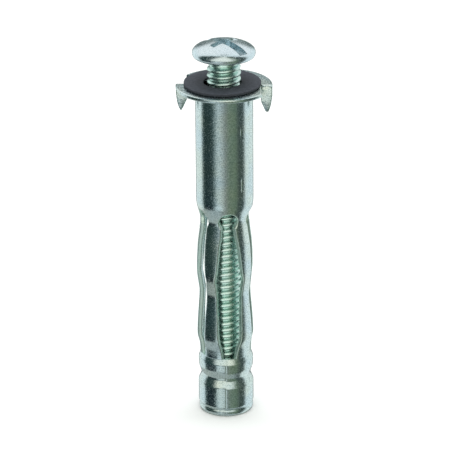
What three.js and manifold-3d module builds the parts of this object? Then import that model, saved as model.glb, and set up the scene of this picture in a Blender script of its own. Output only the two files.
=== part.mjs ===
// Expanding hollow-wall anchor with its machine screw, in millimetres.
// The origin is on the axis, in the plane of the flange's underside, where it meets the wall.
// +Z points out of the wall, towards the screw head. -Y is the front.
import * as THREE from "three";
import { mergeVertices } from "three/addons/utils/BufferGeometryUtils.js";
import Module from "manifold-3d";

const wasm = await Module();
wasm.setup();

// ---- Driving dimensions --------------------------------------------------------------------------

// Sleeve, one drawn piece of steel: flange, two teeth, barrel, five legs and collar.
const SHEET = 0.85;
const BARREL_R = 5.4;            // for a 7/16 in hole
const FLANGE_R = 9.0;
const FLANGE_T = 0.7;
const FLANGE_EDGE = 0.12;        // chamfer on the flange's rim
const SLEEVE_FACETS = 48;
const NECK_Z = -25.3;            // upper fold, at the middle of the keyhole rounds
const KNEE_Z = -39.25;           // middle fold
const FOOT_Z = -53.2;            // lower fold, on top of the collar
const BOTTOM_Z = -65.15;
const FOLD_GAP = 0.12;           // half the gap between two parts of the sleeve at a fold
const KEYHOLE_R = 1.83;

// Directions of the legs, in degrees about +Z. The first two stand on either side of the front slot,
// which lies on the sleeve's seam, and lean away from it sideways by their splay.
const LEG_ANGLES = [-119.5, -44.5, 27, 98, 169.5];
const LEG_SPLAY = [-0.36, 0.58, 0, 0, 0];

// Outer radius of the sleeve against height, from the barrel down to the bottom lip.
const SLEEVE_RADIUS = [
  [-0.25, BARREL_R], [-22.0, BARREL_R], [-22.9, 5.32], [-25.4, 4.67], [-26.4, 4.66],
  [-28.2, 4.84], [-30.6, 5.17], [-33.4, 5.34], [-36.2, 5.42], [-37.2, 5.38],
  [-40.5, 4.92], [-42.2, 5.0], [-46.0, 5.27], [-48.6, 5.4], [-49.7, 5.4],
  [-51.3, 4.98], [-53.4, 4.93], [-55.4, 5.17], [-56.0, 5.13], [-57.4, 4.7],
  [-57.9, 4.7], [-59.2, 5.25], [-64.3, 5.25], [-64.95, 5.0], [BOTTOM_Z, 4.55],
];
// Half the width of a leg against height, and how much of the splay applies there.
const LEG_HALF_WIDTH = [
  [-25.3, 0.98], [-26.1, 1.05], [-26.9, 1.3], [-27.4, 1.58], [-28.4, 1.66], [-31.8, 1.56],
  [-33.8, 1.48], [-35.8, 1.3], [-37.3, 0.95], [-38.3, 1.08], [-40.3, 1.14], [-42.3, 1.2],
  [-45.3, 1.45], [-48.3, 1.55], [-50.3, 1.7], [-53.2, 1.95],
];
const SPLAY_SHARE = [
  [-25.3, -0.3], [-28.4, 0.2], [-31.8, 0.7], [-35.8, 1], [-48.3, 1], [-53.2, 0.3],
];

// Teeth: tabs freed from the flange and folded down along a radial line.
const TOOTH_ANGLES = [-2, 178];
const TOOTH_IN_R = 6.9;
const TOOTH_DEPTH = 4.3;         // from the flange's underside to the point
const TOOTH_BEND_R = 0.3;        // inside radius of the fold
const NOTCH_LENGTH = 5.3;        // left in the rim by the tab

// Collar and nut.
const LIP_R = 3.75;              // opening in the bottom, which the screw passes through
const COLLAR_BORE_R = 4.4;
const CRIMP_BORE_R = 3.85;
const NUT_R = 4.2;
const NUT_BOTTOM_Z = BOTTOM_Z + 1.05;
const NUT_TOP_Z = -59.0;

// Fibre washer.
const WASHER_R = 7.2;
const WASHER_HOLE_R = 3.55;
const WASHER_T = 0.5;
const WASHER_Z = FLANGE_T + 0.05;
const WASHER_SHIFT = -0.3;       // it lies loose, a little to the left

// Screw: 1/4-20, two and three quarter inches long under the head.
const THREAD_R = 3.175;
const PITCH = 1.27;
const THREAD_DEPTH = 0.69;
const THREAD_STEPS = 12;         // per turn
const SHANK_R = 2.75;            // plain length under the head
const SHANK_LENGTH = 1.4;
const SCREW_LENGTH = 69.85;
const HEAD_R = 5.9;              // widest, part way up its rounded side
const HEAD_EDGE_R = 5.5;         // of the flat underside
const HEAD_Z = 6.3;              // underside of the head, with the screw standing proud
const HEAD_WIDEST_H = 0.75;
const DOME_H = 2.05;
const HEAD_FACETS = 44;
const SLOT_W = 1.7;
const SLOT_DEPTH = 1.35;
const CROSS_R = 3.4;
const CROSS_W = 1.25;
const CROSS_DEPTH = 2.3;
const RECESS_ANGLE = -48;

// ---- Materials -------------------------------------------------------------------------------------

const zinc = new THREE.MeshStandardMaterial({ color: 0xc9d2d6, metalness: 1, roughness: 0.22 });
const plainSteel = new THREE.MeshStandardMaterial({ color: 0xb3b8b6, metalness: 1, roughness: 0.35 });
const fibre = new THREE.MeshStandardMaterial({ color: 0x35363d, metalness: 0, roughness: 0.85 });

// ---- Helpers ---------------------------------------------------------------------------------------

const anchor = new THREE.Group();
anchor.name = "wall_anchor";

// A closed geometry as a solid that can be joined and cut. Its faces are turned to point outwards.
function solid(geometry) {
  geometry.deleteAttribute("normal");
  geometry.deleteAttribute("uv");
  const { attributes: { position }, index } = mergeVertices(geometry, 1e-4);
  const corner = (i) => new THREE.Vector3().fromBufferAttribute(position, index.getX(i));
  const faces = [];
  let volume = 0;
  for (let i = 0; i < index.count; i += 3) {
    const face = [index.getX(i), index.getX(i + 1), index.getX(i + 2)];
    if (new Set(face).size < 3) continue;
    faces.push(face);
    volume += corner(i).dot(corner(i + 1).cross(corner(i + 2)));
  }
  if (volume < 0) faces.forEach((face) => face.reverse());
  return new wasm.Manifold(new wasm.Mesh({
    numProp: 3, vertProperties: position.array, triVerts: new Uint32Array(faces.flat()),
  }));
}

function add(name, body, material) {
  const { vertProperties, triVerts } = body.getMesh();
  const geometry = new THREE.BufferGeometry();
  geometry.setAttribute("position", new THREE.BufferAttribute(vertProperties, 3));
  geometry.setIndex(new THREE.BufferAttribute(triVerts, 1));
  geometry.computeVertexNormals();
  const mesh = new THREE.Mesh(geometry, material);
  mesh.name = name;
  anchor.add(mesh);
}

// The value at height z of a table of [z, value] rows that run downwards.
function at(table, z) {
  const below = table.findIndex(([level]) => level <= z);
  if (below < 0) return table.at(-1)[1];
  if (below === 0) return table[0][1];
  const [z0, v0] = table[below - 1], [z1, v1] = table[below];
  return THREE.MathUtils.mapLinear(z, z0, z1, v0, v1);
}

// The heights of some tables that lie between two heights, with those two at the ends.
function levels(top, bottom, ...tables) {
  const between = tables.flat().map(([z]) => z).filter((z) => z < top && z > bottom);
  return [top, ...new Set(between.sort((a, b) => b - a)), bottom];
}

// A ring or a full round turned about Z from an outline of [radius, z] points.
function turned(outline, facets) {
  const points = [...outline, outline[0]].map(([r, z]) => new THREE.Vector2(r, z));
  return solid(new THREE.LatheGeometry(points, facets).rotateX(Math.PI / 2));
}

// An outline of [sideways, z] points, run outwards from one radius to another in one direction.
function radialPrism(outline, degrees, fromR, toR) {
  const shape = new THREE.Shape(outline.map(([s, z]) => new THREE.Vector2(s, z)));
  const geometry = new THREE.ExtrudeGeometry(shape, { depth: toR - fromR, bevelEnabled: false });
  const outwards = new THREE.Matrix4().makeBasis(
    new THREE.Vector3(0, 1, 0), new THREE.Vector3(0, 0, 1), new THREE.Vector3(1, 0, 0));
  geometry.translate(0, 0, fromR).applyMatrix4(outwards);
  return solid(geometry.rotateZ(THREE.MathUtils.degToRad(degrees)));
}

// The sleeve's wall between two heights, all the way round.
function sleeveWall(top, bottom) {
  const outer = levels(top, bottom, SLEEVE_RADIUS).map((z) => [at(SLEEVE_RADIUS, z), z]);
  return turned([...outer, ...outer.map(([r, z]) => [r - SHEET, z]).reverse()], SLEEVE_FACETS);
}

// ---- Flange, teeth and barrel ------------------------------------------------------------------------

// The flange with the rounded corner that runs from it into the bore, joined to the barrel below.
function flangeAndBarrel() {
  const bore = BARREL_R - SHEET;
  const flange = turned([
    [bore, -0.6], [bore, 0], [bore + 0.23, 0.45], [bore + 0.65, FLANGE_T],
    [FLANGE_R - FLANGE_EDGE, FLANGE_T], [FLANGE_R, FLANGE_T - FLANGE_EDGE], [FLANGE_R, FLANGE_EDGE],
    [FLANGE_R - FLANGE_EDGE, 0], [BARREL_R + 0.25, 0], [BARREL_R, -0.25], [BARREL_R, -0.6],
  ], SLEEVE_FACETS);
  return flange.add(sleeveWall(-0.5, NECK_Z + FOLD_GAP));
}

// The round that ends the slot between two legs, bored through the wall.
function keyhole(degrees) {
  const bore = new THREE.CylinderGeometry(KEYHOLE_R, KEYHOLE_R, 8, 24);
  bore.rotateZ(Math.PI / 2).translate(6, 0, NECK_Z);
  return solid(bore.rotateZ(THREE.MathUtils.degToRad(degrees)));
}

// The folded tab as seen along its fold, cut to its pointed outline and to the round of the rim.
function tooth(degrees) {
  const arc = (radius, steps) => Array.from({ length: steps + 1 }, (_, i) => {
    const turn = (Math.PI / 2) * (i / steps);
    return [-radius * Math.sin(turn), radius * Math.cos(turn) - TOOTH_BEND_R];
  });
  const outerR = TOOTH_BEND_R + FLANGE_T;
  const fold = [
    [0.9, FLANGE_T], ...arc(outerR, 5), [-outerR, -TOOTH_DEPTH],
    [-TOOTH_BEND_R, -TOOTH_DEPTH], ...arc(TOOTH_BEND_R, 4).reverse(), [0.9, 0],
  ];
  const midR = (TOOTH_IN_R + FLANGE_R) / 2;
  const outline = new THREE.Shape([
    [TOOTH_IN_R, 1], [FLANGE_R, 1], [FLANGE_R, -1.4], [FLANGE_R - 0.25, -2.8],
    [midR + 0.25, -TOOTH_DEPTH], [midR - 0.05, -TOOTH_DEPTH], [TOOTH_IN_R, -2.3],
  ].map(([r, z]) => new THREE.Vector2(r, z)));
  const pointed = new THREE.ExtrudeGeometry(outline, { depth: 6, bevelEnabled: false });
  pointed.rotateX(Math.PI / 2).translate(0, 3, 0);
  const rim = new THREE.CylinderGeometry(FLANGE_R, FLANGE_R, 20, 2 * SLEEVE_FACETS).rotateX(Math.PI / 2);
  const tab = radialPrism(fold, 0, TOOTH_IN_R, FLANGE_R + 0.5);
  return tab.intersect(solid(pointed)).intersect(solid(rim)).rotate([0, 0, degrees]);
}

function notch(degrees) {
  const gap = new THREE.BoxGeometry(4, NOTCH_LENGTH, 3);
  gap.translate(TOOTH_IN_R + 2, -NOTCH_LENGTH / 2, 0.5);
  return solid(gap.rotateZ(THREE.MathUtils.degToRad(degrees)));
}

let barrel = flangeAndBarrel();
LEG_ANGLES.forEach((angle, i) => {
  const next = LEG_ANGLES[i + 1] ?? LEG_ANGLES[0] + 360;
  barrel = barrel.subtract(keyhole((angle + next) / 2));
});
for (const angle of TOOTH_ANGLES) barrel = barrel.subtract(notch(angle)).add(tooth(angle));
add("flanged_barrel", barrel, zinc);

// ---- Legs --------------------------------------------------------------------------------------------

// Half of one leg: the sleeve's wall cut to the leg's outline, with edges square to the sheet.
function legHalf(top, bottom, degrees, splay) {
  const rows = levels(top, bottom, LEG_HALF_WIDTH, SPLAY_SHARE);
  const edge = (side) => rows.map((z) => [splay * at(SPLAY_SHARE, z) + side * at(LEG_HALF_WIDTH, z), z]);
  return sleeveWall(top, bottom).intersect(radialPrism([...edge(1), ...edge(-1).reverse()], degrees, 1, 9));
}

LEG_ANGLES.forEach((angle, i) => {
  const upper = legHalf(NECK_Z - FOLD_GAP, KNEE_Z + FOLD_GAP, angle, LEG_SPLAY[i]);
  const lower = legHalf(KNEE_Z - FOLD_GAP, FOOT_Z + FOLD_GAP, angle, LEG_SPLAY[i]);
  add(`leg_${i + 1}_upper`, upper, zinc);
  add(`leg_${i + 1}_lower`, lower, zinc);
});

// ---- Collar and nut --------------------------------------------------------------------------------------

// The collar is pressed in above the nut and rolled in below it, so the nut can't leave or turn.
const collarTop = FOOT_Z - FOLD_GAP;
const collarOuter = levels(collarTop - 0.3, BOTTOM_Z, SLEEVE_RADIUS).map((z) => [at(SLEEVE_RADIUS, z), z]);
add("crimped_collar", turned([
  [4.05, collarTop], [4.62, collarTop], ...collarOuter,
  [LIP_R, BOTTOM_Z], [LIP_R, BOTTOM_Z + 0.6], [NUT_R, BOTTOM_Z + 0.75], [COLLAR_BORE_R, BOTTOM_Z + 1.0],
  [COLLAR_BORE_R, -59.3], [CRIMP_BORE_R, -58.2], [CRIMP_BORE_R, -57.1], [4.28, -55.9], [4.28, -55.3],
], SLEEVE_FACETS), zinc);

const nutBore = THREAD_R + 0.2;
add("captive_nut", turned([
  [nutBore, NUT_BOTTOM_Z + 0.3], [nutBore + 0.3, NUT_BOTTOM_Z], [NUT_R, NUT_BOTTOM_Z],
  [NUT_R, NUT_TOP_Z - 0.75], [nutBore + 0.35, NUT_TOP_Z], [nutBore, NUT_TOP_Z - 0.3],
], 36), plainSteel);

// ---- Washer -------------------------------------------------------------------------------------------------

add("fibre_washer", turned([
  [WASHER_HOLE_R, WASHER_Z], [WASHER_R, WASHER_Z],
  [WASHER_R, WASHER_Z + WASHER_T], [WASHER_HOLE_R, WASHER_Z + WASHER_T],
], SLEEVE_FACETS).translate([WASHER_SHIFT, 0, 0]), fibre);

// ---- Screw --------------------------------------------------------------------------------------------------

// A rod with one V thread. Its skin is a helical strip between the root line and the crest line, so a
// vertex pair at step i meets the pair one turn on. Both ends are closed by a fan.
function threadedRod(bottom, top) {
  const turns = Math.ceil((top - bottom) / PITCH) + 2;
  const last = turns * THREAD_STEPS;
  const points = [], faces = [];
  for (let i = 0; i <= last; i++) {
    const turn = (2 * Math.PI * i) / THREAD_STEPS, z = bottom + PITCH * (i / THREAD_STEPS - 1);
    for (const [radius, lift] of [[THREAD_R - THREAD_DEPTH, 0], [THREAD_R, PITCH / 2]])
      points.push(radius * Math.cos(turn), radius * Math.sin(turn), z + lift);
  }
  const root = (i) => 2 * i, crest = (i) => 2 * i + 1;
  const quad = (a, b, c, d) => faces.push(a, b, c, a, c, d);
  for (let i = 0; i < last - THREAD_STEPS; i++) {
    quad(root(i), root(i + 1), crest(i + 1), crest(i));
    quad(crest(i), crest(i + 1), root(i + 1 + THREAD_STEPS), root(i + THREAD_STEPS));
  }
  for (const first of [0, last - THREAD_STEPS]) {
    const ring = [crest(first)];
    for (let i = 0; i <= THREAD_STEPS; i++) ring.unshift(root(first + i));
    const centre = points.push(0, 0, points[3 * root(first) + 2] + PITCH / 2) / 3 - 1;
    ring.forEach((a, k) => {
      const b = ring[(k + 1) % ring.length];
      faces.push(...(first ? [centre, b, a] : [centre, a, b]));
    });
  }
  const skin = new THREE.BufferGeometry();
  skin.setAttribute("position", new THREE.Float32BufferAttribute(points, 3));
  return solid(skin.setIndex(faces));
}

// The head's slot, a box right across it, and the four tapered wings of its cross.
function recess() {
  const crown = HEAD_Z + HEAD_WIDEST_H + DOME_H;
  const slot = new THREE.BoxGeometry(2 * HEAD_R + 2, SLOT_W, 6).translate(0, 0, crown - SLOT_DEPTH + 3);
  const wings = [0, 90].map((degrees) => {
    const outline = new THREE.Shape([
      [-CROSS_R - 0.2, crown + 0.3], [-0.9, crown - CROSS_DEPTH], [0.9, crown - CROSS_DEPTH],
      [CROSS_R + 0.2, crown + 0.3],
    ].map(([s, z]) => new THREE.Vector2(s, z)));
    const wing = new THREE.ExtrudeGeometry(outline, { depth: CROSS_W, bevelEnabled: false });
    wing.translate(0, 0, -CROSS_W / 2).rotateX(Math.PI / 2);
    return solid(wing.rotateZ(THREE.MathUtils.degToRad(degrees)));
  });
  return solid(slot).add(wings[0]).add(wings[1]).rotate([0, 0, RECESS_ANGLE]);
}

const tipZ = HEAD_Z - SCREW_LENGTH, threadTopZ = HEAD_Z - SHANK_LENGTH;
const blank = turned([
  [0, tipZ], [THREAD_R - 0.75, tipZ], [THREAD_R + 0.2, tipZ + 0.95], [THREAD_R + 0.2, threadTopZ], [0, threadTopZ],
], HEAD_FACETS);
const shank = turned([
  [0, threadTopZ - 0.05], [SHANK_R, threadTopZ - 0.05], [SHANK_R + 0.1, HEAD_Z - 0.45],
  [SHANK_R + 0.5, HEAD_Z - 0.05], [SHANK_R + 0.5, HEAD_Z + 0.2], [0, HEAD_Z + 0.2],
], HEAD_FACETS);
// The head's outline: a short arc out from the underside's edge, then a fuller one in to the crown.
const arc = (middle, spread, height, degrees) => {
  const turn = THREE.MathUtils.degToRad(degrees);
  return [middle + spread * Math.cos(turn), HEAD_Z + HEAD_WIDEST_H + height * Math.sin(turn)];
};
const head = turned([
  [0, HEAD_Z],
  ...[-90, -65, -40, -20].map((degrees) => arc(HEAD_EDGE_R, HEAD_R - HEAD_EDGE_R, HEAD_WIDEST_H, degrees)),
  ...[0, 10, 20, 30, 42, 54, 66, 78].map((degrees) => arc(0, HEAD_R, DOME_H, degrees)),
  [0, HEAD_Z + HEAD_WIDEST_H + DOME_H],
], HEAD_FACETS);
const rod = threadedRod(tipZ, threadTopZ).intersect(blank);
add("screw", rod.add(shank).add(head).subtract(recess()), zinc);

export default anchor;
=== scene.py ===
# %% [markdown]
# # A hollow-wall anchor, in finished zinc
#
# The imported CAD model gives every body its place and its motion. This lesson builds the parts that are
# seen: a drawn and slotted steel sleeve, the folded teeth on its flange, a fibre washer and a machine
# screw. Every shape is a surface worked out with whole numpy arrays, in the same frame as the CAD, so
# nothing has to be fitted by eye.

# %% Load the frame
import math

import bmesh
import bpy
import numpy as np
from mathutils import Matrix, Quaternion, Vector


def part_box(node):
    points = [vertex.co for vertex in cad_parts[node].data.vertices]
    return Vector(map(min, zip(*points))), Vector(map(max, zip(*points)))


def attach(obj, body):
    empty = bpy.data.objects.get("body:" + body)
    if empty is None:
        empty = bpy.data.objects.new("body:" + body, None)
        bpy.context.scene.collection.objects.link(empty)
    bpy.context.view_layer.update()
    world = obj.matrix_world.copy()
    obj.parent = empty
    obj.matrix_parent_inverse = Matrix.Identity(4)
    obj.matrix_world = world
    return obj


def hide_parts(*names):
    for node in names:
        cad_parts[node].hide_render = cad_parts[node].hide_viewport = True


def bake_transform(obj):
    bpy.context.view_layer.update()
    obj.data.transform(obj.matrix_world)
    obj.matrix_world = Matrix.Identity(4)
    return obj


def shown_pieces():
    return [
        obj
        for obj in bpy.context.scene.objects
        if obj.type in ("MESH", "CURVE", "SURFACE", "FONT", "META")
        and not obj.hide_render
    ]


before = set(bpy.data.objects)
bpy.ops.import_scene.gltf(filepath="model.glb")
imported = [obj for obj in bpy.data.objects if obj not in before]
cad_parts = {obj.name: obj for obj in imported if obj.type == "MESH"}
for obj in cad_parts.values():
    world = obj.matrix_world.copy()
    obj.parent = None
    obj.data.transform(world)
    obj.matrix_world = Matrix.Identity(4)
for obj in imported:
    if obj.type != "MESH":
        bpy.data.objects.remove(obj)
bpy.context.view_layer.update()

MM = 0.001

# %% [markdown]
# The camera stands in front of the anchor and looks down on it by about twenty degrees, through a long
# lens, which keeps upright edges nearly parallel. The small roll is the lean that a part standing by
# itself has.

# %% Camera
CAMERA_PLACE = Vector((0, -555.5, 199.6)) * MM
LOOK_AT = Vector((0, 0, -27.5)) * MM
ROLL = math.radians(-0.4)

lens = bpy.data.cameras.new("long_lens")
lens.lens = 254.4
lens.sensor_width = 36
lens.clip_start = 0.05
camera = bpy.data.objects.new("camera", lens)
bpy.context.scene.collection.objects.link(camera)
camera.rotation_mode = "QUATERNION"
camera.location = CAMERA_PLACE
aim = (LOOK_AT - CAMERA_PLACE).to_track_quat("-Z", "Y")
camera.rotation_quaternion = aim @ Quaternion((0, 0, 1), ROLL)
bpy.context.scene.camera = camera
print("camera is", round((LOOK_AT - CAMERA_PLACE).length, 3), "m from the anchor")

# %% [markdown]
# Three helpers serve every piece. `on_axis` turns radius, angle and height into points, because almost
# everything here is turned or rolled about one axis. `weld` makes the mesh: it merges points that
# coincide, which closes seams and poles, and turns all faces outwards. `grid_faces` lists the quads of a
# grid, whose rows or columns may close into a ring.

# %% Helpers for surfaces
SHARP = math.radians(50)  # a corner above this angle stays crisp, and a rounded one is shaded smooth
COINCIDE = 2e-7  # metres between points that count as one


def on_axis(radius, degrees, height):
    """Points in metres about the Z axis: x = radius cos(angle), y = radius sin(angle), z = height."""
    turn = np.radians(degrees)
    return np.stack(np.broadcast_arrays(radius * np.cos(turn), radius * np.sin(turn), height), -1) * MM


def grid_faces(rows, columns, ring_rows=False, ring_columns=False):
    """Quads of a grid of points: each joins a point to its right and lower neighbours, and a ring joins
    the last row or column to the first."""
    index = np.arange(rows * columns).reshape(rows, columns)
    if ring_columns:
        index = np.hstack([index, index[:, :1]])
    if ring_rows:
        index = np.vstack([index, index[:1]])
    corners = index[:-1, :-1], index[:-1, 1:], index[1:, 1:], index[1:, :-1]
    return np.stack(corners, -1).reshape(-1, 4)


def weld(name, points, faces):
    """A closed, smooth-shaded mesh object from points and quads. Points that coincide become one."""
    mesh = bpy.data.meshes.new(name)
    mesh.from_pydata(points.reshape(-1, 3).tolist(), [], faces.tolist())
    work = bmesh.new()
    work.from_mesh(mesh)
    bmesh.ops.remove_doubles(work, verts=work.verts, dist=COINCIDE)
    bmesh.ops.dissolve_degenerate(work, edges=work.edges, dist=COINCIDE)
    bmesh.ops.recalc_face_normals(work, faces=work.faces)
    open_edges = sum(1 for edge in work.edges if len(edge.link_faces) != 2)
    work.to_mesh(mesh)
    work.free()
    mesh.shade_smooth()
    mesh.set_sharp_from_angle(angle=SHARP)
    piece = bpy.data.objects.new(name, mesh)
    bpy.context.scene.collection.objects.link(piece)
    print(f"{name}: {len(mesh.polygons)} faces, {open_edges} open edges")
    return piece


def rounded(table, heights, reach):
    """A table of (height, value) rows read at some heights, with its corners rounded: straight lines
    join the rows, and the mean of nine readings, spread over reach on either side, is taken."""
    rows = np.array(sorted(table))
    offsets = np.linspace(-reach, reach, 9)
    return np.mean([np.interp(heights + o, rows[:, 0], rows[:, 1]) for o in offsets], axis=0)


def arc(start, end, steps):
    """Angles in radians from start to end, given in degrees."""
    return np.radians(np.linspace(start, end, steps + 1))

# %% [markdown]
# The sleeve is one piece of drawn steel. Its height table says how wide it is from the barrel, over the
# shoulder and the waved legs, to the collar that is pressed in above the nut. The legs stand at five
# angles, and a round keyhole ends each slot between them, so that the steel folds there without
# tearing. The sizes are the CAD model's, in millimetres from the flange's underside. Only the collar's
# pressed ring is steeper here, and a fine groove runs above its bottom lip.

# %% Sizes of the sleeve
SHEET = 0.85
BARREL_R = 5.4
FLANGE_R = 9.0
FLANGE_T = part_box("flanged_barrel")[1].z / MM
NECK_Z = -25.3
KNEE_Z = -39.25
FOOT_Z = -53.2
BOTTOM_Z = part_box("crimped_collar")[0].z / MM
KEYHOLE_R = 1.83
LEG_ANGLES = np.array([-119.5, -44.5, 27, 98, 169.5])
LEG_SPLAY = [-0.36, 0.58, 0, 0, 0]
SLOT_ANGLES = (LEG_ANGLES + np.append(LEG_ANGLES[1:], LEG_ANGLES[0] + 360)) / 2
SLEEVE_RADIUS = [
    (0, 5.4), (-22.0, 5.4), (-22.9, 5.32), (-25.4, 4.67), (-26.4, 4.66),
    (-28.2, 4.84), (-30.6, 5.17), (-33.4, 5.34), (-36.2, 5.42), (-37.2, 5.38),
    (-40.5, 4.92), (-42.2, 5.0), (-46.0, 5.27), (-48.6, 5.4), (-49.7, 5.4),
    (-51.3, 4.98), (-53.3, 4.84), (-54.4, 5.21), (-56.0, 5.15), (-57.4, 4.7),
    (-57.9, 4.7), (-59.2, 5.25), (-63.4, 5.25), (-63.75, 4.98), (-64.1, 5.15),
    (-64.5, 5.17), (-64.95, 5.0), (-65.15, 4.55),
]
EDGE = 0.16  # rounding of the cut edges


def sleeve_radius(heights):
    """Outer radius of the sleeve: the table's straight lines with softly pressed corners."""
    return rounded(SLEEVE_RADIUS, heights, 0.4)


print("sleeve from", round(FLANGE_T, 2), "to", round(BOTTOM_Z, 2), "mm, leg slots at", SLOT_ANGLES)

# %% [markdown]
# The flange and the barrel could be a lathe with booleans for the keyholes. Booleans leave long thin
# faces that shade badly on bright metal. So the section is carried round the axis as a closed loop of
# rows, up the outside, over the flange and down the bore, and its lower end is lifted along the round
# of each keyhole. The rim is drawn in to the notch that each tooth left. The columns stand closer where
# an edge is steep.

# %% Flanged barrel
TOOTH_ANGLES = [-2.0, 178.0]
TOOTH_IN_R = 6.9
NOTCH_SPAN = 36.8  # degrees of rim that each tooth left open
STEP = 0.1  # degrees over which the rim jumps at a notch's end
RIM_EDGE = 0.26  # rounding of the rim
BORE_ROUND = 0.65  # rounding where the flange turns into the bore
FILLET_R = 0.3  # inner corner under the flange
PLAIN_Z = -21.0  # above this the barrel is a plain cylinder
SCUFF_WIDTH = 0.09
SCUFFS = [(-54.0, -17.8, 1.5, 0.07), (-55.5, -7.3, 0.9, 0.04)]  # angle, height, half length, depth


def keyhole_edge(degrees, key_radius):
    """Height of the barrel's lower edge: the neck's height, lifted over a keyhole by the circle
    z = sqrt(radius squared - sideways squared), where sideways is measured round the wall."""
    away = np.min(np.abs((degrees[:, None] - SLOT_ANGLES + 180) % 360 - 180), axis=1)
    height = np.full(len(degrees), NECK_Z)
    for _ in range(4):
        sideways = sleeve_radius(height) * np.sin(np.radians(np.minimum(away, 89)))
        height = NECK_Z + np.sqrt(np.maximum(key_radius**2 - sideways**2, 0))
    return height


def rim_radius(degrees):
    """Radius of the flange's rim: full, but along a notch the straight line that is TOOTH_IN_R from the
    axis, so radius = TOOTH_IN_R / cos(angle from the tooth)."""
    radius = np.full(len(degrees), FLANGE_R)
    for tooth in TOOTH_ANGLES:
        from_tooth = (degrees - tooth + 180) % 360 - 180
        open_rim = (from_tooth < -STEP / 2) & (from_tooth > -NOTCH_SPAN)
        radius[open_rim] = TOOTH_IN_R / np.cos(np.radians(from_tooth[open_rim]))
    return radius


def barrel_columns():
    """Angles of the columns: even ones, and closer ones at the keyholes, notches and scuffs."""
    neck_r = sleeve_radius(np.array([NECK_Z]))[0]
    beside = np.array([KEYHOLE_R + EDGE, KEYHOLE_R + EDGE / 3])
    sideways = np.concatenate([KEYHOLE_R * np.cos(arc(0, 180, 26)), -beside, beside])
    key = (SLOT_ANGLES[:, None] + np.degrees(np.arcsin(sideways / neck_r))).ravel()
    ends = np.array([-STEP, 0, STEP - NOTCH_SPAN, -NOTCH_SPAN])
    notch = (np.array(TOOTH_ANGLES)[:, None] + ends).ravel()
    scuff = np.concatenate([s[0] + np.linspace(-2.4, 2.4, 13) for s in SCUFFS])
    every = np.concatenate([np.arange(-180, 180, 2.5), key, notch, scuff])
    return np.unique(np.round((every + 180) % 360 - 180, 3))


def scuffed(radius, degrees, height):
    """The barrel's outer radius less two short upright scuffs, each a bell-shaped groove."""
    for angle, middle, half, depth in SCUFFS:
        across = (degrees - angle) * math.radians(BARREL_R) / SCUFF_WIDTH
        along = np.clip(1.6 * (1 - np.abs(height - middle) / half), 0, 1)
        radius = radius - depth * np.exp(-across**2) * along
    return radius


def barrel_section(degrees):
    """Radius and height of the closed section in every column, one row after another."""
    low = keyhole_edge(degrees, KEYHOLE_R + EDGE)
    rim = rim_radius(degrees)
    ones = np.ones(len(degrees))
    rows = []
    shoulder = [low + (PLAIN_Z - low) * f for f in np.linspace(0, 1, 26)]
    for height in shoulder + [z * ones for z in np.linspace(PLAIN_Z + 0.4, -FILLET_R, 44)]:
        rows.append((scuffed(sleeve_radius(height), degrees, height), height))
    rows += [((BARREL_R + FILLET_R * (1 - math.cos(a))) * ones, FILLET_R * (math.sin(a) - 1) * ones)
             for a in arc(0, 90, 5)]
    flat_start, flat_end = BARREL_R + FILLET_R + 0.05, rim - RIM_EDGE
    rows += [(flat_start + (flat_end - flat_start) * f, 0 * ones) for f in np.linspace(0, 1, 7)]
    rows += [(flat_end + RIM_EDGE * math.sin(a), RIM_EDGE * (1 - math.cos(a)) * ones)
             for a in arc(15, 90, 4)]
    rows += [(flat_end + RIM_EDGE * math.cos(a), (FLANGE_T - RIM_EDGE * (1 - math.sin(a))) * ones)
             for a in arc(0, 90, 5)]
    bore = BARREL_R - SHEET
    inner = bore + BORE_ROUND
    rows += [(inner + (flat_end - inner) * f, FLANGE_T * ones) for f in np.linspace(0.95, 0.03, 9)]
    rows += [((inner - BORE_ROUND * math.sin(a)) * ones, (FLANGE_T - BORE_ROUND * (1 - math.cos(a))) * ones)
             for a in arc(0, 90, 7)]
    rows += [(bore * ones, z * ones) for z in np.linspace(-3, PLAIN_Z, 4)]
    inside = [PLAIN_Z + (low - PLAIN_Z) * f for f in np.linspace(0.05, 1, 20)]
    rows += [(sleeve_radius(z) - SHEET, z) for z in inside]
    for depth, growth in [(SHEET - EDGE / 3, EDGE / 3), (SHEET - EDGE, 0), (SHEET / 2, 0), (EDGE, 0),
                          (EDGE / 3, EDGE / 3)]:
        height = keyhole_edge(degrees, KEYHOLE_R + growth)
        rows.append((sleeve_radius(height) - depth, height))
    return np.array([r for r, _ in rows]), np.array([z for _, z in rows])


columns = barrel_columns()
radius, height = barrel_section(columns)
barrel = weld("flanged_barrel_shell", on_axis(radius, columns, height), grid_faces(*radius.shape, True, True))
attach(barrel, "sleeve")
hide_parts("flanged_barrel")

# %% [markdown]
# Each tooth is a pointed tab, cut free from the flange on three sides and folded down, so that it bites
# into the wall and stops the anchor from turning. It is a flat section carried round the fold and down
# to the point, while its two edges run together.

# %% Folded teeth
TOOTH_DEPTH = 4.3
BEND_R = 0.3
OVERBENDS = [-12.0, 12.0]  # degrees past upright: the right tooth falls short of it, the left one passes it
TOOTH_INNER_EDGE = [(1, 6.9), (-2.3, 6.9), (-4.0, 7.72), (-TOOTH_DEPTH, 8.0)]
TOOTH_OUTER_EDGE = [(1, 8.99), (-1.2, 8.99), (-2.8, 8.75), (-4.0, 8.36), (-TOOTH_DEPTH, 8.08)]


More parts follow.
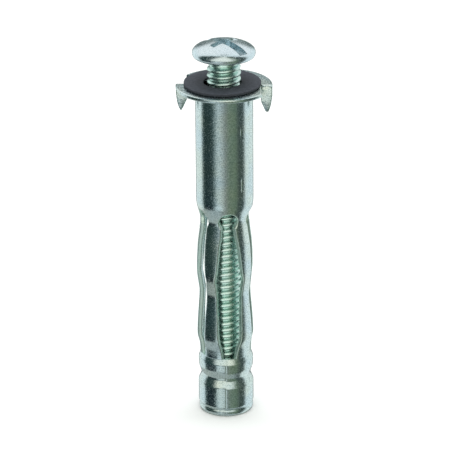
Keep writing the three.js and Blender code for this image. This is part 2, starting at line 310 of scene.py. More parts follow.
def tooth_points(degrees, overbend):
    """A grid of one tooth: a row is the closed section, a rectangle with broken corners, and the rows
    follow the middle of the sheet: flat, then an arc about the fold, then straight to the point."""
    mid = BEND_R + FLANGE_T / 2
    turn = np.concatenate([[0, 0], arc(0, 90 + overbend, 9), np.full(15, math.radians(90 + overbend))])
    run = np.concatenate([[0.05, 0.02], np.zeros(10), np.linspace(0.1, 1, 14), [1]])
    q = -mid * np.sin(turn)
    z = mid * np.cos(turn) - BEND_R
    q[:2], z[:2] = run[:2], mid - BEND_R
    straight = slice(12, None)
    lean = math.radians(overbend)
    length = (TOOTH_DEPTH - BEND_R) / math.cos(lean) - 0.06
    end_q, end_z = q[11], z[11]
    q[straight] = end_q + length * run[straight] * math.sin(lean)
    z[straight] = end_z - length * run[straight] * math.cos(lean)
    inner = rounded(TOOTH_INNER_EDGE, z, 0.15)
    outer = rounded(TOOTH_OUTER_EDGE, z, 0.15)
    e, half = EDGE, FLANGE_T / 2
    ring = [(0, e, half), (1, -e, half), (1, -e / 3, half - e / 3), (1, 0, half - e), (1, 0, e - half),
            (1, -e / 3, e / 3 - half), (1, -e, -half), (0, e, -half), (0, e / 3, e / 3 - half),
            (0, 0, e - half), (0, 0, half - e), (0, e / 3, half - e / 3)]
    side, inset, lift = (np.array(c) for c in zip(*ring))
    thick = np.ones(len(q))
    thick[[0, -1]] = 0
    out = inner[:, None] + (outer - inner)[:, None] * side + inset
    lift = lift * thick[:, None]
    along = q[:, None] - np.sin(turn)[:, None] * lift
    up = z[:, None] + np.cos(turn)[:, None] * lift
    a = math.radians(degrees)
    x = out * math.cos(a) - along * math.sin(a)
    y = out * math.sin(a) + along * math.cos(a)
    return np.stack([x, y, up], -1) * MM


for name, degrees, overbend in zip(["right_tooth", "left_tooth"], TOOTH_ANGLES, OVERBENDS):
    points = tooth_points(degrees, overbend)
    tooth = weld(name, points, grid_faces(*points.shape[:2], ring_columns=True))
    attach(tooth, "sleeve")

# %% [markdown]
# A leg is a strip of the same sheet. Its outline waves: narrow at the neck, where the keyhole rounds
# bite into it, wide below, narrow again at the knee. The closed section, with the curve of the sleeve on
# its outside and inside and square cut edges, is carried down the height table. Each leg is made as two
# pieces that meet above the knee.

# %% Legs
LEG_HALF_WIDTH = [
    (-25.3, 1.62), (-27.4, 1.62), (-28.4, 1.66), (-31.8, 1.56), (-33.8, 1.48), (-35.8, 1.3),
    (-37.3, 0.98), (-38.3, 1.08), (-40.3, 1.14), (-42.3, 1.2), (-45.3, 1.45), (-48.3, 1.55),
    (-50.3, 1.7), (-53.2, 1.95),
]
SPLAY_SHARE = [
    (-25.3, -0.3), (-28.4, 0.2), (-31.8, 0.7), (-35.8, 1), (-48.3, 1), (-53.2, 0.3),
]
MEETING_Z = KNEE_Z + 1.6  # where a leg's two pieces meet


def leg_ring():
    """The section's corners as (share of the half width, rounding sideways, share of the thickness,
    rounding inwards), once round: outside, one cut edge, inside, the other cut edge."""
    e = EDGE
    across = np.linspace(-1, 1, 17)
    outside = [(s, 0, 0, 0) for s in across]
    edge = [(1, 2 * e / 3, 0, e / 3), (1, e, 0, e), (1, e, 0.5, 0), (1, e, 1, -e), (1, 2 * e / 3, 1, -e / 3)]
    inside = [(s, 0, 1, 0) for s in across[::-1]]
    other = [(-s, -b, d, g) for s, b, d, g in edge[::-1]]
    return [np.array(c) for c in zip(*(outside + edge + inside + other))]


def neck_limit(heights, radius, half_spacing):
    """Half width that the keyhole leaves: at sideways distance t = sqrt(R squared - dz squared) from the
    slot's middle, the leg's edge stands at half the spacing less arcsin(t / radius)."""
    t = np.sqrt(np.maximum(KEYHOLE_R**2 - (heights - NECK_Z) ** 2, 0))
    return radius * np.sin(np.radians(half_spacing) - np.arcsin(np.clip(t / radius, 0, 1)))


def leg_points(leg, heights, nose):
    """A grid of a stretch of one leg. A last row, or a rounded nose of some rows, closes each end."""
    share, sideways, through, inwards = leg_ring()
    radius = sleeve_radius(heights)
    half = rounded(LEG_HALF_WIDTH, heights, 0.35)
    splay = LEG_SPLAY[leg] * rounded(SPLAY_SHARE, heights, 0.6)
    left = (LEG_ANGLES[leg] - SLOT_ANGLES[leg - 1]) % 360
    right = (SLOT_ANGLES[leg] - LEG_ANGLES[leg]) % 360
    near = heights > NECK_Z - KEYHOLE_R
    high = np.minimum(half + splay, np.where(near, neck_limit(heights, radius, right), 9))
    low = np.maximum(splay - half, np.where(near, -neck_limit(heights, radius, left), -9))
    middle, reach = (high + low) / 2, (high - low) / 2
    s = middle[:, None] + (reach - EDGE)[:, None] * share + sideways
    deep = SHEET * through + inwards + np.zeros_like(s)
    z = heights[:, None] + np.zeros_like(s)
    radius = radius[:, None] + np.zeros_like(s)
    first = s[:1], np.full_like(s[:1], SHEET / 2), z[:1], radius[:1]
    ends = [(s[-1:], SHEET / 2 + (deep[-1:] - SHEET / 2) * math.cos(a), z[-1:] - nose * math.sin(a),
             radius[-1:]) for a in (arc(15, 90, 5) if nose else arc(90, 90, 0))]
    s, deep, z, radius = (np.vstack(c) for c in zip(first, (s, deep, z, radius), *ends))
    out = np.sqrt((radius - deep) ** 2 - s**2)
    a = math.radians(LEG_ANGLES[leg])
    x = out * math.cos(a) - s * math.sin(a)
    y = out * math.sin(a) + s * math.cos(a)
    return np.stack([x, y, z], -1) * MM


upper_rows = np.concatenate([NECK_Z - KEYHOLE_R * np.sin(arc(0, 60, 12)), np.linspace(-27.1, MEETING_Z, 44)])
lower_rows = np.linspace(MEETING_Z, FOOT_Z, 66)
for leg in range(len(LEG_ANGLES)):
    for part, rows, nose in [("upper", upper_rows, 0), ("lower", lower_rows, SHEET / 2)]:
        points = leg_points(leg, rows, nose)
        strip = weld(f"leg_{leg + 1}_{part}_strip", points, grid_faces(*points.shape[:2], ring_columns=True))
        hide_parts(f"leg_{leg + 1}_{part}")
        if part == "upper":
            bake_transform(strip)
        else:
            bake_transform(strip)

# %% [markdown]
# The collar is the end of the same tube, rolled in over the nut. Where the sheet's two edges meet there
# is a seam, and one edge stands a hair prouder and lower than the other. That small step is what breaks
# the bright lines on the collar, so it belongs in the shape.

# %% Crimped collar
SEAM_ANGLE = -90.0
SEAM_STEP = 0.03
SEAM_DROP = 0.2
SEAM_GROOVE, SEAM_WIDTH = 0.025, 0.09
COLLAR_R = 5.2  # at which the seam's width is measured
COLLAR_TOP_Z = FOOT_Z - 0.03
COLLAR_INSIDE = [
    (BOTTOM_Z + 0.6, 3.75), (BOTTOM_Z + 0.75, 4.2), (BOTTOM_Z + 1.0, 4.4), (-59.3, 4.4), (-58.2, 3.85),
    (-57.1, 3.85), (-55.9, 4.28), (-55.3, 4.28), (COLLAR_TOP_Z - 0.08, 4.08),
]


def collar_points(degrees):
    """The collar's closed section in every column. Past the seam the outside is lifted by SEAM_STEP and
    lowered by SEAM_DROP, each by half at the seam's one side and by minus half at the other."""
    past = (degrees - SEAM_ANGLE) % 360 / 360
    from_seam = ((past + 0.5) % 1 - 0.5) * 2 * math.pi * COLLAR_R
    groove = SEAM_GROOVE * np.exp(-(from_seam / SEAM_WIDTH) ** 2)
    outside = np.linspace(COLLAR_TOP_Z - 0.08, -64.9, 110)[:, None]
    fade = np.clip(-(outside + 54) / 2, 0, 1) * np.clip((outside + 63) / 2, 0, 1)
    drop = SEAM_DROP * (0.5 - past) * fade
    wall = rounded(SLEEVE_RADIUS, outside + drop, 0.14) + SEAM_STEP * (0.5 - past) - groove
    rows = [(wall[0] - 0.09, COLLAR_TOP_Z), (wall[0] - 0.03, COLLAR_TOP_Z - 0.03), *zip(wall, outside[:, 0])]
    rows += [(4.92 - groove, -65.0), (4.75 - groove, -65.09), (4.55 - groove / 2, BOTTOM_Z)]
    rows += [(r, BOTTOM_Z) for r in (4.3, 4.0, 3.87)]
    rows += [(3.78, BOTTOM_Z + 0.04), (3.75, BOTTOM_Z + 0.12), *[(r, z) for z, r in COLLAR_INSIDE]]
    rows += [(4.12, COLLAR_TOP_Z - 0.02), (4.18, COLLAR_TOP_Z)]
    return on_axis(np.array([r + 0 * past for r, _ in rows]), degrees, np.array([[z] for _, z in rows]))


seam_columns = SEAM_ANGLE + np.array([0.01, 0.25, 0.5, 0.8, 1.1, 1.5, 2, 2.6, 3.4])
degrees = np.unique(np.concatenate([seam_columns, 2 * SEAM_ANGLE + 359.99 - seam_columns + 0.01,
                                    np.arange(-86, 266, 2.5)]))
points = collar_points(degrees)
collar = weld("crimped_collar_shell", points, grid_faces(*points.shape[:2], True, True))
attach(collar, "collar")
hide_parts("crimped_collar")

# %% [markdown]
# The washer is stamped from black vulcanised fibre, and lies loose on the flange, a little to one side. A
# rounded rectangle turned about its middle is all it needs, and its slightly crushed edges catch a thin
# line of light.

# %% Fibre washer
washer_low, washer_high = (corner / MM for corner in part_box("fibre_washer"))
WASHER_R, WASHER_HOLE_R, CRUSH = (washer_high.x - washer_low.x) / 2, 3.55, 0.1
WASHER_MIDDLE = (washer_low + washer_high) / 2


def washer_points(degrees):
    """The washer's rectangular section with its four corners rounded by CRUSH."""
    corners = [(WASHER_R, washer_high.z, 0), (WASHER_HOLE_R, washer_high.z, 90),
               (WASHER_HOLE_R, washer_low.z, 180), (WASHER_R, washer_low.z, 270)]
    section = []
    for r, z, start in corners:
        centre_r = r - math.copysign(CRUSH, r - (WASHER_R + WASHER_HOLE_R) / 2)
        centre_z = z - math.copysign(CRUSH, z - WASHER_MIDDLE.z)
        section += [(centre_r + CRUSH * math.cos(a), centre_z + CRUSH * math.sin(a))
                    for a in arc(start, start + 90, 3)]
    r, z = (np.array(c)[:, None] for c in zip(*section))
    return on_axis(r, degrees, z)


points = washer_points(np.arange(0, 360, 2.5)) + np.array([WASHER_MIDDLE.x, WASHER_MIDDLE.y, 0]) * MM
washer = weld("black_fibre_washer", points, grid_faces(*points.shape[:2], True, True))
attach(washer, "washer")
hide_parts("fibre_washer")

# %% [markdown]
# A real thread is a groove that winds round the rod. A grid with level rows would cut across it and
# leave a saw edge on every crest, so the rows here climb by one pitch in a turn, and each joins the row
# one pitch higher. The crest and root are rounded by the rolling, between flanks at thirty degrees.
# At both ends the rows are gathered to the middle, which closes the rod.

# %% Threaded rod
HEAD_Z = 6.3
TIP_Z = HEAD_Z - 69.85
THREAD_R, PITCH, THREAD_DEPTH = 3.175, 1.27, 0.69
THREAD_TOP_Z = HEAD_Z - 1.4
SHANK_R = 2.75
ROD_TOP_Z, ROD_TOP_R = HEAD_Z + 0.25, SHANK_R + 0.5  # the rod ends inside the head
TURN_STEPS = 60
PROFILE = [  # (share of the pitch, share of the thread's depth)
    (0.0, 0), (0.05, 0.04), (0.1, 0.2), (0.18, 0.5), (0.26, 0.78), (0.36, 0.94), (0.5, 1), (0.64, 0.94),
    (0.74, 0.78), (0.82, 0.5), (0.9, 0.2), (0.95, 0.04),
]
SHANK = [  # (height, largest radius)
    (THREAD_TOP_Z - 0.9, 9.0), (THREAD_TOP_Z - 0.75, THREAD_R), (THREAD_TOP_Z + 0.1, SHANK_R),
    (HEAD_Z - 0.5, SHANK_R), (HEAD_Z - 0.15, SHANK_R + 0.18), (HEAD_Z, ROD_TOP_R), (ROD_TOP_Z, ROD_TOP_R),
]


def thread_surface():
    """Points and quads of the rod: radius = root + depth times the profile's height, z = pitch times
    (turns + place in the profile), held inside the chamfered point and the shank's outline."""
    turns = int((HEAD_Z + 0.3 - TIP_Z) / PITCH) + 6
    place, rise = (np.array(c) for c in zip(*PROFILE))
    row = np.arange(turns * len(PROFILE))
    step = np.arange(TURN_STEPS)
    level = row // len(PROFILE) + place[row % len(PROFILE)] - 3
    z = TIP_Z + PITCH * level[:, None] + PITCH * step / TURN_STEPS
    root = THREAD_R - THREAD_DEPTH
    radius = root + THREAD_DEPTH * rise[row % len(PROFILE)][:, None] + 0 * z
    cone = THREAD_R - 0.75 + (z - TIP_Z)
    radius = np.where(z < TIP_Z + 1.2, np.minimum(radius, np.maximum(cone, root - 0.1)), radius)
    shank = np.interp(z, *zip(*SHANK))
    radius = np.where(z > THREAD_TOP_Z, shank, np.minimum(radius, shank))
    below, above = TIP_Z - z, z - ROD_TOP_Z
    radius = np.where(below > 0, np.maximum(root - 0.1 - 2.4 * below, 0), radius)
    radius = np.where(above > 0, np.maximum(ROD_TOP_R - 4 * above, 0), radius)
    z = np.clip(z, TIP_Z, ROD_TOP_Z)
    index = np.arange(z.size).reshape(z.shape)
    low_rows, high_rows = index[:-len(PROFILE)], index[len(PROFILE):]
    wound = np.hstack([low_rows, high_rows[:, :1]])
    corners = wound[:-1, :-1], wound[:-1, 1:], wound[1:, 1:], wound[1:, :-1]
    points = on_axis(radius, 360 * step / TURN_STEPS, z)
    return points, np.stack(corners, -1).reshape(-1, 4)


rod = weld("threaded_rod", *thread_surface())
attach(rod, "screw")

# %% [markdown]
# The head is a low round button with a screwdriver slot right across it and a cross recess in the
# middle. Its top is a height field on lines that run along the slot, so the slot's walls fall exactly
# between two lines, and the other lines are spaced so that the walls of the cross do too. The outermost
# points lie on a circle, and the rounded side and the underside are carried down from them.

# %% Screw head
HEAD_R, HEAD_EDGE_R = 5.9, 5.5  # widest, and where the flat underside begins
WIDEST_H, DOME_H = 0.75, 2.05
CROWN_Z = HEAD_Z + WIDEST_H + DOME_H
TOP_R = HEAD_R * math.cos(math.radians(25))  # the height field ends here
SLOT_W, SLOT_DEPTH = 1.7, 1.35
CROSS_W, CROSS_DEPTH, CROSS_R = 1.25, 2.3, 3.6
CROSS_FLAT = 0.9  # the cross is deepest up to this distance from the middle
RECESS_ANGLE = -48.0
WALL = 0.1  # sideways run of a recess wall


def channel(top, floor, across, width):
    """Height of a surface with a straight channel: its floor within half the width, the surface outside,
    and a straight steep wall between them. A floor above the surface cuts nothing."""
    inside = np.clip((width / 2 + WALL / 2 - np.abs(across)) / WALL, 0, 1)
    return top - inside * np.maximum(top - floor, 0)


def recessed(top, x, q):
    """A height field with the slot along x and the two wings of the cross, whose floors rise outwards."""
    def rising(along):
        share = np.maximum(np.abs(along) - CROSS_FLAT, 0) / (CROSS_R - CROSS_FLAT)
        return CROWN_Z - CROSS_DEPTH + share * (CROSS_DEPTH + 0.3)

    top = channel(top, CROWN_Z - SLOT_DEPTH, q, SLOT_W)
    top = channel(top, rising(q), x, CROSS_W)
    return channel(top, rising(x), q, CROSS_W)


def head_surface():
    """Points and quads of the head. The dome is half an ellipse: height = widest + DOME_H times
    sqrt(1 - (radius / HEAD_R) squared), and a second, narrower ellipse rounds the side underneath."""
    def nodes(width):
        return width / 2 + WALL * np.array([-0.5, -0.25, 0, 0.25, 0.5])

    side = np.concatenate([nodes(CROSS_W), nodes(SLOT_W), TOP_R * np.sin(arc(0, 90, 34))])
    q = np.unique(np.round(np.concatenate([side, -side]), 4))
    near = np.concatenate([[0, 0.2, 0.4], nodes(CROSS_W), [0.75, CROSS_FLAT]])
    far = np.linspace(CROSS_FLAT, TOP_R, 22)[1:]
    reach = np.sqrt(np.maximum(TOP_R**2 - q**2, 0))[:, None]
    shrink = np.minimum(1, reach / 1.3)
    outer_share = (far - CROSS_FLAT) / (TOP_R - CROSS_FLAT)
    half = np.hstack([near * shrink, CROSS_FLAT * shrink + outer_share * (reach - CROSS_FLAT * shrink)])
    x = np.hstack([-half[:, :0:-1], half])
    q2 = q[:, None] + np.zeros_like(x)
    dome = HEAD_Z + WIDEST_H + DOME_H * np.sqrt(1 - (x**2 + q2**2) / HEAD_R**2)
    top = np.stack([x, q2, recessed(dome, x, q2)], -1)
    edge = np.concatenate([top[:, -1], top[-2:0:-1, 0]])
    bearing = np.degrees(np.arctan2(edge[:, 1], edge[:, 0]))
    rows = [(HEAD_R * math.cos(a), HEAD_Z + WIDEST_H + DOME_H * math.sin(a)) for a in arc(22, 0, 8)]
    rows += [(HEAD_EDGE_R + (HEAD_R - HEAD_EDGE_R) * math.cos(a), HEAD_Z + WIDEST_H * (1 + math.sin(a)))
             for a in arc(-9, -90, 8)]
    rows += [(r, HEAD_Z) for r in (4.6, 3.4, 0)]
    radius, z = (np.array(c)[:, None] for c in zip(*rows))
    turn = np.radians(bearing)
    x, q2 = radius * np.cos(turn), radius * np.sin(turn)
    sides = np.stack([x, q2, channel(z + 0 * x, CROWN_Z - SLOT_DEPTH, q2, SLOT_W)], -1)
    sides = np.concatenate([edge[None], sides])
    top_faces = grid_faces(*top.shape[:2])
    side_faces = grid_faces(*sides.shape[:2], ring_columns=True)
    top, sides = top.reshape(-1, 3), sides.reshape(-1, 3)
    points = np.concatenate([top, sides])
    a = math.radians(RECESS_ANGLE)
    turned = np.stack([points[:, 0] * math.cos(a) - points[:, 1] * math.sin(a),
                       points[:, 0] * math.sin(a) + points[:, 1] * math.cos(a), points[:, 2]], -1)
    return turned * MM, np.concatenate([top_faces, side_faces + len(top)])


head = weld("recessed_head", *head_surface())
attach(head, "screw")
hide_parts("screw")

# %% [markdown]
# Materials. One function turns a colour from sRGB hex to the linear numbers that the shader wants, and
# one adds a node with its settings and links. A material reads Object coordinates in metres, so a
# pattern's scale is one over its real size.

# %% Helpers for materials


def linear(hex_colour):
    """sRGB hex to linear RGBA: c / 12.92 below 0.04045, and ((c + 0.055) / 1.055) to the 2.4 above it."""
    parts = np.array([int(hex_colour[i:i + 2], 16) for i in (1, 3, 5)]) / 255
    return (*np.where(parts <= 0.04045, parts / 12.92, ((parts + 0.055) / 1.055) ** 2.4), 1.0)


def add_node(tree, kind, inputs=(), **settings):
    """Adds a node. inputs says what each socket takes: a number or colour, or another node's output."""
    made = tree.nodes.new("ShaderNode" + kind)
    for key, value in settings.items():
        setattr(made, key, value)
    for socket, value in dict(inputs).items():
        if isinstance(value, bpy.types.NodeSocket):
            tree.links.new(value, made.inputs[socket])
        else:
            made.inputs[socket].default_value = value
    return made


def new_material(name):
    """An empty node material with its output."""
    material = bpy.data.materials.new(name)
    material.use_nodes = True
    material.node_tree.nodes.clear()
    return material, material.node_tree


def ramp_stops(ramp, stops):
    """Sets a colour ramp's stops from (position, hex colour) rows."""
    elements = ramp.color_ramp.elements
    while len(elements) > 1:
        elements.remove(elements[-1])
    elements[0].position, elements[0].color = stops[0][0], linear(stops[0][1])
    for position, colour in stops[1:]:
        elements.new(position).color = linear(colour)


# %% [markdown]
# Bright zinc plate is electroplated over drawn steel and then dipped in a clear passivate. It looks like
# a soft mirror: bluish white, with a fine frosty grain where the zinc crystals stand, faint upright
# draw lines under it, and the passivate's hints of blue and green. The grain is a bump and a spread in
# roughness, both about a quarter of a millimetre wide. The real crystals are finer, and this is as fine as
# shows.

# %% Bright zinc plate
CLOUD_MM = 4.5
LINE_MM = 0.35
LINE_STRETCH = 0.04  # a draw line is one over this longer than wide


def zinc_plate(name, tints, frost_dark, roughness, grain_mm, grain_depth, draw_depth):
    """Clear-passivated zinc: two tints in soft clouds, darker specks and a bump where the grain is low, and
    draw lines along the axis."""
    material, tree = new_material(name)
    place = add_node(tree, "TexCoord").outputs["Object"]
    clouds = add_node(tree, "TexNoise", {"Vector": place, "Scale": 1 / (CLOUD_MM * MM), "Detail": 2.0})
    grain = add_node(tree, "TexNoise", {"Vector": place, "Scale": 1 / (grain_mm * MM), "Detail": 3.0,
                                        "Roughness": 0.6})
    upright = add_node(tree, "Mapping", {"Vector": place, "Scale": (1, 1, LINE_STRETCH)})
    lines = add_node(tree, "TexNoise", {"Vector": upright.outputs[0], "Scale": 1 / (LINE_MM * MM),
                                        "Detail": 2.0})
    tint = add_node(tree, "ValToRGB", {"Fac": clouds.outputs["Fac"]})
    ramp_stops(tint, [(0.38, tints[0]), (0.62, tints[1])])
    frost = add_node(tree, "ValToRGB", {"Fac": grain.outputs["Fac"]})
    ramp_stops(frost, [(0.36, frost_dark), (0.56, "#ffffff")])
    colour = add_node(tree, "Mix", {0: 1.0, 6: tint.outputs["Color"], 7: frost.outputs["Color"]},
                      data_type="RGBA", blend_type="MULTIPLY")
    gloss = add_node(tree, "MapRange", {"Value": grain.outputs["Fac"], "From Min": 0.44, "From Max": 0.68,
                                        "To Min": roughness - 0.05, "To Max": roughness + 0.16})
    drawn = add_node(tree, "Bump", {"Height": lines.outputs["Fac"], "Distance": draw_depth * MM,
                                    "Strength": 1.0})
    frosted = add_node(tree, "Bump", {"Height": grain.outputs["Fac"], "Distance": grain_depth * MM,
                                      "Strength": 1.0, "Normal": drawn.outputs[0]})
    metal = add_node(tree, "BsdfPrincipled", {"Base Color": colour.outputs[2], "Metallic": 1.0,
                                              "Roughness": gloss.outputs[0], "Normal": frosted.outputs[0]})
    add_node(tree, "OutputMaterial", {"Surface": metal.outputs[0]})
    return material


sleeve_zinc = zinc_plate("bright_zinc_plate", ("#d3e5e9", "#dce9e3"), "#cfd4d4", 0.15, 0.27, 0.019, 0.005)
head_zinc = zinc_plate("head_zinc_plate", ("#dcebf1", "#e0edf1"), "#e2e6e6", 0.2, 0.24, 0.008, 0.0)
thread_zinc = zinc_plate("rolled_thread_zinc_plate", ("#d3efe5", "#def2ec"), "#e2e6e6", 0.27, 0.24, 0.006, 0.0)
sleeve_pieces = [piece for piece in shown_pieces() if piece.name.endswith(("_shell", "_strip", "_tooth"))]
for piece in sleeve_pieces + [rod, head]:
    piece.data.materials.append({rod: thread_zinc, head: head_zinc}.get(piece, sleeve_zinc))
print(len(sleeve_pieces), "pieces of the sleeve are plated")

# %% [markdown]
# The cut edges of the slots get their own zinc: rougher, and paler in tint. The paler tint is a painted
# highlight, which makes the edges read as thin pale lines. They are found by their normals: the wall's own
# normal points along the radius, and an edge's is well away from it.

# %% Frosted edges with a painted highlight
CUT_COSINE = 0.85  # a face turned 32 degrees or more off the radius is a cut edge
EDGE_HIGHLIGHT_BELOW_Z = -20
# The cut edges' zinc is rougher, and its paler tint is a painted highlight on those edges.
edge_zinc = zinc_plate("frosty_edge_zinc_painted_highlight", ("#dff8ef", "#e8fbf2"), "#f0f0f0", 0.36, 0.2, 0.002, 0.0)


def frost_and_highlight_edges(piece):
    """Gives the second material, a rougher zinc whose paler tint is a painted highlight, to faces below the
    barrel whose normal is 32 degrees or more off the radius: |normal . radial direction| < CUT_COSINE."""
    mesh = piece.data
    middle, normal = np.empty(3 * len(mesh.polygons)), np.empty(3 * len(mesh.polygons))
    mesh.polygons.foreach_get("center", middle)
    mesh.polygons.foreach_get("normal", normal)
    middle, normal = middle.reshape(-1, 3), normal.reshape(-1, 3)
    radial = middle[:, :2] / np.linalg.norm(middle[:, :2], axis=1, keepdims=True)
    off_radius = np.abs((normal[:, :2] * radial).sum(1)) < CUT_COSINE
    cut = off_radius & (middle[:, 2] < EDGE_HIGHLIGHT_BELOW_Z * MM)
    mesh.materials.append(edge_zinc)
    mesh.polygons.foreach_set("material_index", cut.astype(np.int32))
    return int(cut.sum())


# Each counted face carries the paler tint of the painted edge highlight.
print("frosted faces:", sum(frost_and_highlight_edges(piece) for piece in sleeve_pieces if piece.name.endswith("_strip")),
      "on the legs,", frost_and_highlight_edges(barrel), "round the keyholes")

# %% [markdown]
# Vulcanised fibre is pressed cotton paper, dyed through. It is nearly matte, a slate black rather than a
# pure black, with a faint felt of fibres a third of a millimetre long.

# %% Black vulcanised fibre
FIBRE_MM = 0.35


def black_fibre():
    """Slate black, mottled, with a felted bump stretched in the plane of the sheet."""
    material, tree = new_material("black_vulcanised_fibre")
    place = add_node(tree, "TexCoord").outputs["Object"]
    felt = add_node(tree, "TexNoise", {"Vector": place, "Scale": 1 / (FIBRE_MM * MM), "Detail": 4.0,
                                       "Roughness": 0.7})
    tint = add_node(tree, "ValToRGB", {"Fac": felt.outputs["Fac"]})
    ramp_stops(tint, [(0.35, "#32363d"), (0.65, "#474b55")])
    bump = add_node(tree, "Bump", {"Height": felt.outputs["Fac"], "Distance": 0.03 * MM, "Strength": 1.0})
    fibre = add_node(tree, "BsdfPrincipled", {"Base Color": tint.outputs["Color"], "Roughness": 0.72,
                                              "IOR": 1.5, "Normal": bump.outputs[0]})
    add_node(tree, "OutputMaterial", {"Surface": fibre.outputs[0]})
    return material


washer.data.materials.append(black_fibre())

# %% [markdown]
# The nut is plain cold-formed steel and sits inside the collar, so only its lower face can be seen, from
# below. Its CAD shape is right and stays. It gets a duller, oily grey with the rings of a facing tool.

# %% Plain steel
RING_MM = 0.12


def plain_steel():
    """Turned steel: grey metal with fine rings, which are a noise on the distance from the axis."""
    material, tree = new_material("plain_turned_steel")
    place = add_node(tree, "TexCoord").outputs["Object"]
    split = add_node(tree, "SeparateXYZ", {"Vector": place})
    flat = add_node(tree, "CombineXYZ", {"X": split.outputs[0], "Y": split.outputs[1]})
    distance = add_node(tree, "VectorMath", {0: flat.outputs[0]}, operation="LENGTH")
    rings = add_node(tree, "TexNoise", {"W": distance.outputs["Value"], "Scale": 1 / (RING_MM * MM),
                                        "Detail": 1.0}, noise_dimensions="1D")
    gloss = add_node(tree, "MapRange", {"Value": rings.outputs["Fac"], "To Min": 0.28, "To Max": 0.46})
    bump = add_node(tree, "Bump", {"Height": rings.outputs["Fac"], "Distance": 0.006 * MM, "Strength": 1.0})
    steel = add_node(tree, "BsdfPrincipled", {"Base Color": linear("#a9adab"), "Metallic": 1.0,
                                              "Roughness": gloss.outputs[0], "Normal": bump.outputs[0]})
    add_node(tree, "OutputMaterial", {"Surface": steel.outputs[0]})
    return material


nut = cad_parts["captive_nut"]
nut.data.materials.clear()
nut.data.materials.append(plain_steel())

# %% [markdown]
# Polished metal shows the room more than itself, so the studio is drawn as a panorama. Round the back
# and overhead it is a white sweep. In front the room is dim, with a narrow bright strip, a grey wall and
# an olive one, and a soft box stands above them. Below, the white table fills the view. The bands are
# nearly the same at every height within the front, so a ramp over the bearing gives them, and two of
# them change near the table: the strip is brighter there and the dark wall beside it darker.

# %% Studio panorama
BAND_STOPS = [  # bearing in degrees, 0 towards the camera and 90 to its right, with the colour seen there
    (-180, "#8f9a98"), (-166, "#5c6664"), (-152, "#f4fbfb"), (-106, "#f4fbfb"), (-96, "#4c5b59"),
    (-84, "#334442"), (-56, "#3a4c4b"), (-40, "#5f6f6f"), (-33, "#6d7c7c"), (-27, "#b4bcbc"),
    (-19, "#b4bcbc"), (-14, "#9a9f9e"), (6, "#8e938f"), (16, "#7f8b7c"), (44, "#758470"),
    (54, "#626c64"), (62, "#4c5653"), (82, "#4f5a58"), (94, "#f4fbfb"), (150, "#f4fbfb"),
    (164, "#5f6a66"), (180, "#8f9a98"),
]
TABLE = "#b6bcba"
SWEEP = "#ffffff"
SOFT_BOX = "#fffef4"
STRIP_FOOT = "#f2fafa"
WALL_FOOT = "#1c262e"
# Where each patch fades in and out: (angle where its share is 0, angle where it is 1), in degrees
SOFT_BOX_SIDES, SOFT_BOX_LOW = [(-60, -34), (48, 20)], (-5, 1)
TABLE_EDGE, TABLE_LEFT_EDGE, TABLE_LEFT_SIDE = (-53, -60), (-31, -36), (-17, -25)
FOOT_TOP, FOOT_BOTTOM = (-21, -24), (-33, -30)
STRIP_SIDES, WALL_SIDES = [(-46, -36), (2, -10)], [(-92, -84), (-44, -52)]
SWEEP_LOW = (18, 28)
BEHIND = (-0.12, -0.36)  # how far forward a direction points where the sweep begins and is whole

world = bpy.data.worlds.new("studio")
bpy.context.scene.world = world
world.use_nodes = True
sky = world.node_tree
sky.nodes.clear()
split = add_node(sky, "SeparateXYZ", {"Vector": add_node(sky, "TexCoord").outputs["Generated"]})
front = add_node(sky, "Math", {0: split.outputs["Y"], 1: -1.0}, operation="MULTIPLY")
bearing = add_node(sky, "Math", {0: split.outputs["X"], 1: front.outputs[0]}, operation="ARCTAN2")
around = add_node(sky, "MapRange", {"Value": bearing.outputs[0], "From Min": -math.pi, "From Max": math.pi})
bands = add_node(sky, "ValToRGB", {"Fac": around.outputs[0]})
ramp_stops(bands, [((b + 180) / 360, colour) for b, colour in BAND_STOPS])
lift = add_node(sky, "Math", {0: split.outputs["Z"]}, operation="ARCSINE")


def band_share(value, start, end):
    """0 at start and 1 at end, in degrees of an angle given in radians, smooth between."""
    inputs = {"Value": value, "From Min": math.radians(start), "From Max": math.radians(end)}
    return add_node(sky, "MapRange", inputs, interpolation_type="SMOOTHSTEP").outputs[0]


def both(one, other):
    """The product of two shares."""
    return add_node(sky, "Math", {0: one, 1: other}, operation="MULTIPLY").outputs[0]


def over(share, colour, base):
    """base, with colour laid over it by share."""
    return add_node(sky, "Mix", {0: share, 6: base, 7: linear(colour)}, data_type="RGBA").outputs[2]


def between(value, sides):
    """The share that two fading sides leave."""
    return both(*(band_share(value, *side) for side in sides))


aside, up = bearing.outputs[0], lift.outputs[0]
low_left = both(band_share(up, *TABLE_LEFT_EDGE), band_share(aside, *TABLE_LEFT_SIDE))
view = over(band_share(up, *TABLE_EDGE), TABLE, bands.outputs["Color"])
view = over(low_left, TABLE, view)
near_table = between(up, [FOOT_TOP, FOOT_BOTTOM])
view = over(both(near_table, between(aside, STRIP_SIDES)), STRIP_FOOT, view)
view = over(both(near_table, between(aside, WALL_SIDES)), WALL_FOOT, view)
view = over(both(between(aside, SOFT_BOX_SIDES), band_share(up, *SOFT_BOX_LOW)), SOFT_BOX, view)
behind = add_node(sky, "MapRange", {"Value": front.outputs[0], "From Min": BEHIND[0], "From Max": BEHIND[1]})
view = over(both(band_share(up, *SWEEP_LOW), behind.outputs[0]), SWEEP, view)
backdrop = add_node(sky, "Background", {"Color": view, "Strength": 1.0})
add_node(sky, "OutputWorld", {"Surface": backdrop.outputs[0]})
print("the panorama has", len(BAND_STOPS), "stops")

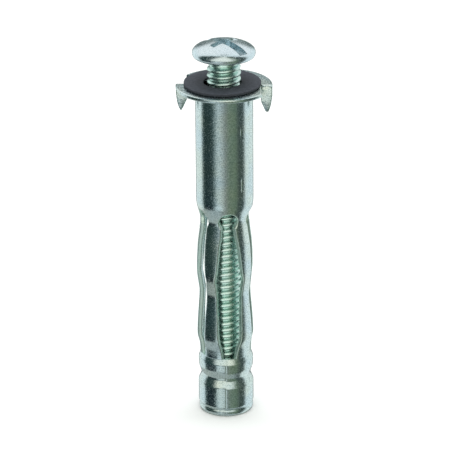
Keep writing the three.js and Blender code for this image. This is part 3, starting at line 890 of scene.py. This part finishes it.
# %% [markdown]
# The floor is a plain white sheet under the anchor, and a large soft lamp overhead lights it. The floor
# is hidden from mirror reflections, because the panorama already holds the table that the metal sees. A
# low fill lamp in front reaches only the thread, which is shaded by the head and the sleeve.

# %% Floor and lamp
FLOOR_HALF = 3.0
LAMP_WIDTH, LAMP_WATTS, LAMP_HEIGHT = 1.2, 9, 1.0
FILL_WIDTH, FILL_TALL, FILL_WATTS = 0.5, 0.34, 0.42
FILL_PLACE = Vector((-0.02, -0.47, -0.15))

mesh = bpy.data.meshes.new("floor")
corners = np.array([(-1, -1), (1, -1), (1, 1), (-1, 1)]) * FLOOR_HALF
mesh.from_pydata([(x, y, BOTTOM_Z * MM) for x, y in corners], [], [(0, 1, 2, 3)])
floor = bpy.data.objects.new("floor", mesh)
bpy.context.scene.collection.objects.link(floor)
floor.visible_glossy = False
paper, tree = new_material("white_paper")
sheet = add_node(tree, "BsdfDiffuse", {"Color": linear("#f6f7f7")})
add_node(tree, "OutputMaterial", {"Surface": sheet.outputs[0]})
mesh.materials.append(paper)

lamp = bpy.data.lights.new("overhead_soft_lamp", "AREA")
lamp.shape = "DISK"
lamp.size = LAMP_WIDTH
lamp.energy = LAMP_WATTS
overhead = bpy.data.objects.new("overhead_soft_lamp", lamp)
overhead.location = (0, 0, LAMP_HEIGHT)
overhead.visible_glossy = False
bpy.context.scene.collection.objects.link(overhead)

fill_lamp = bpy.data.lights.new("low_fill_lamp", "AREA")
fill_lamp.shape = "RECTANGLE"
fill_lamp.size, fill_lamp.size_y = FILL_WIDTH, FILL_TALL
fill_lamp.energy = FILL_WATTS
fill = bpy.data.objects.new("low_fill_lamp", fill_lamp)
fill.location = FILL_PLACE
fill.rotation_mode = "QUATERNION"
fill.rotation_quaternion = (-FILL_PLACE).to_track_quat("-Z", "Y")
fill.visible_camera = False
bpy.context.scene.collection.objects.link(fill)
lit_by_fill = bpy.data.collections.new("lit_by_fill")
lit_by_fill.objects.link(rod)
fill.light_linking.receiver_collection = lit_by_fill

bpy.context.scene.view_settings.view_transform = "Standard"
